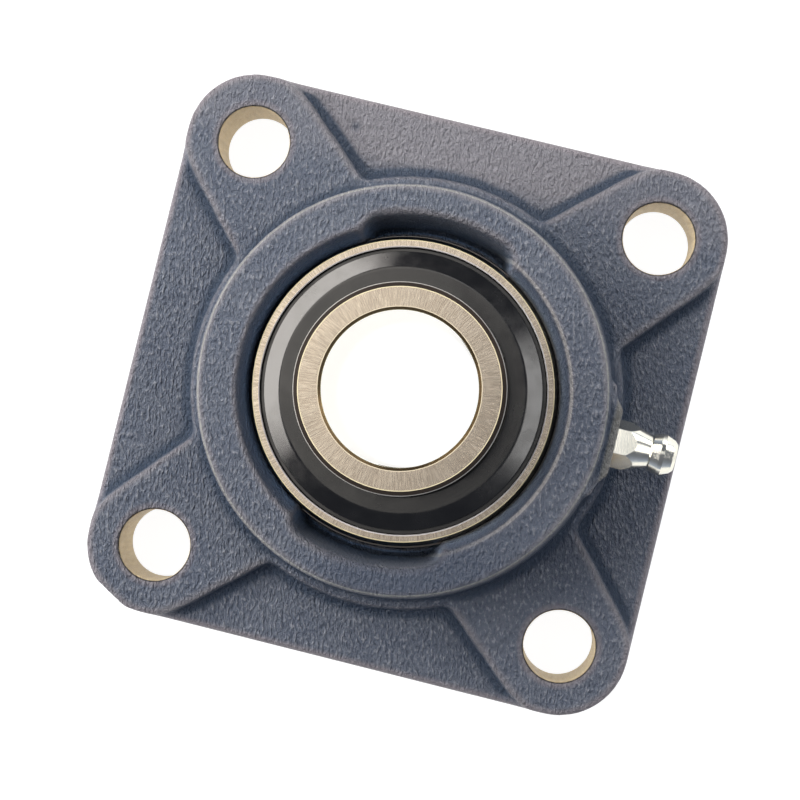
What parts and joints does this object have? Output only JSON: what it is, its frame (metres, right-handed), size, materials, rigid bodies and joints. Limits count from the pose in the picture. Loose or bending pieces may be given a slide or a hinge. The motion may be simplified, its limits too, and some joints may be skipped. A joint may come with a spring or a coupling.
{
  "type": "square flange bearing unit",
  "caption": "Square cast-iron flange housing with bolt holes, a self-aligning ball bearing insert with set screws, and a grease nipple.",
  "frame": {"origin": "centre of the four-bolt pattern on the mounting face", "axes": "+Z along the shaft axis out of the hub, +X towards the grease nipple"},
  "size_m": [0.095, 0.095, 0.0358],
  "materials": {
    "casting_paint": "slate-blue paint on a sand casting",
    "bearing_steel": "ground and honed bearing steel",
    "ball_steel": "polished steel",
    "cage_steel": "pressed steel strip",
    "shield_steel": "dark glossy pressed steel",
    "seal_rubber": "black rubber",
    "screw_steel": "black oiled steel",
    "nipple_plating": "bright zinc plating with a yellow tint"
  },
  "bodies": {
    "housing": {"housing": "casting_paint", "nipple_body": "nipple_plating", "nipple_spring": "ball_steel"},
    "insert": {"outer_ring": "bearing_steel", "front_seal_plate": "shield_steel", "back_seal_plate": "shield_steel", "front_seal_lip": "seal_rubber", "back_seal_lip": "seal_rubber"},
    "inner": {"inner_ring": "bearing_steel", "front_flinger": "shield_steel", "back_flinger": "shield_steel"},
    "cage": {"cage_front": "cage_steel", "cage_back": "cage_steel", "cage_rivets": "cage_steel"},
    "set_screw_1": {"set_screw_1": "screw_steel"},
    "set_screw_2": {"set_screw_2": "screw_steel"},
    "check_ball": {"nipple_check_ball": "ball_steel"},
    "ball_1": {"ball_1": "ball_steel"},
    "ball_2": {"ball_2": "ball_steel"},
    "ball_3": {"ball_3": "ball_steel"},
    "ball_4": {"ball_4": "ball_steel"},
    "ball_5": {"ball_5": "ball_steel"},
    "ball_6": {"ball_6": "ball_steel"},
    "ball_7": {"ball_7": "ball_steel"},
    "ball_8": {"ball_8": "ball_steel"},
    "ball_9": {"ball_9": "ball_steel"}
  },
  "joints": [
    {"name": "insert_tilt", "type": "hinge", "parent": "housing", "child": "insert", "pos_m": [0, 0, 0.016], "axis": [0, 1, 0], "range_deg": [-3, 3]},
    {"name": "inner_spin", "type": "hinge", "parent": "insert", "child": "inner", "pos_m": [0, 0, 0.016], "axis": [0, 0, 1], "continuous": true},
    {"name": "cage_orbit", "type": "hinge", "parent": "insert", "child": "cage", "pos_m": [0, 0, 0.016], "axis": [0, 0, 1], "continuous": true},
    {"name": "set_screw_1_travel", "type": "slide", "parent": "inner", "child": "set_screw_1", "axis": [0.766, 0.6428, 0], "range_m": [-0.0002, 0.005]},
    {"name": "set_screw_2_travel", "type": "slide", "parent": "inner", "child": "set_screw_2", "axis": [0.1736, -0.9848, 0], "range_m": [-0.0002, 0.005]},
    {"name": "check_ball_press", "type": "slide", "parent": "housing", "child": "check_ball", "axis": [-1, 0, 0], "range_m": [0, 0.001], "stiffness_N_per_m": 300, "springref_m": -0.001, "deforming": ["nipple_spring"]},
    {"name": "ball_1_roll", "type": "hinge", "parent": "cage", "child": "ball_1", "pos_m": [0.01925, 0, 0.016], "axis": [0, 0, 1], "continuous": true},
    {"name": "ball_2_roll", "type": "hinge", "parent": "cage", "child": "ball_2", "pos_m": [0.01475, 0.01237, 0.016], "axis": [0, 0, 1], "continuous": true},
    {"name": "ball_3_roll", "type": "hinge", "parent": "cage", "child": "ball_3", "pos_m": [0.00334, 0.01896, 0.016], "axis": [0, 0, 1], "continuous": true},
    {"name": "ball_4_roll", "type": "hinge", "parent": "cage", "child": "ball_4", "pos_m": [-0.00962, 0.01667, 0.016], "axis": [0, 0, 1], "continuous": true},
    {"name": "ball_5_roll", "type": "hinge", "parent": "cage", "child": "ball_5", "pos_m": [-0.01809, 0.00658, 0.016], "axis": [0, 0, 1], "continuous": true},
    {"name": "ball_6_roll", "type": "hinge", "parent": "cage", "child": "ball_6", "pos_m": [-0.01809, -0.00658, 0.016], "axis": [0, 0, 1], "continuous": true},
    {"name": "ball_7_roll", "type": "hinge", "parent": "cage", "child": "ball_7", "pos_m": [-0.00962, -0.01667, 0.016], "axis": [0, 0, 1], "continuous": true},
    {"name": "ball_8_roll", "type": "hinge", "parent": "cage", "child": "ball_8", "pos_m": [0.00334, -0.01896, 0.016], "axis": [0, 0, 1], "continuous": true},
    {"name": "ball_9_roll", "type": "hinge", "parent": "cage", "child": "ball_9", "pos_m": [0.01475, -0.01237, 0.016], "axis": [0, 0, 1], "continuous": true}
  ],
  "couplings": [
    {"joint": "cage_orbit", "follows": "inner_spin", "ratio": 0.39691},
    {"joint": "ball_1_roll", "follows": "inner_spin", "ratio": -2.322},
    {"joint": "ball_2_roll", "follows": "inner_spin", "ratio": -2.322},
    {"joint": "ball_3_roll", "follows": "inner_spin", "ratio": -2.322},
    {"joint": "ball_4_roll", "follows": "inner_spin", "ratio": -2.322},
    {"joint": "ball_5_roll", "follows": "inner_spin", "ratio": -2.322},
    {"joint": "ball_6_roll", "follows": "inner_spin", "ratio": -2.322},
    {"joint": "ball_7_roll", "follows": "inner_spin", "ratio": -2.322},
    {"joint": "ball_8_roll", "follows": "inner_spin", "ratio": -2.322},
    {"joint": "ball_9_roll", "follows": "inner_spin", "ratio": -2.322}
  ]
}
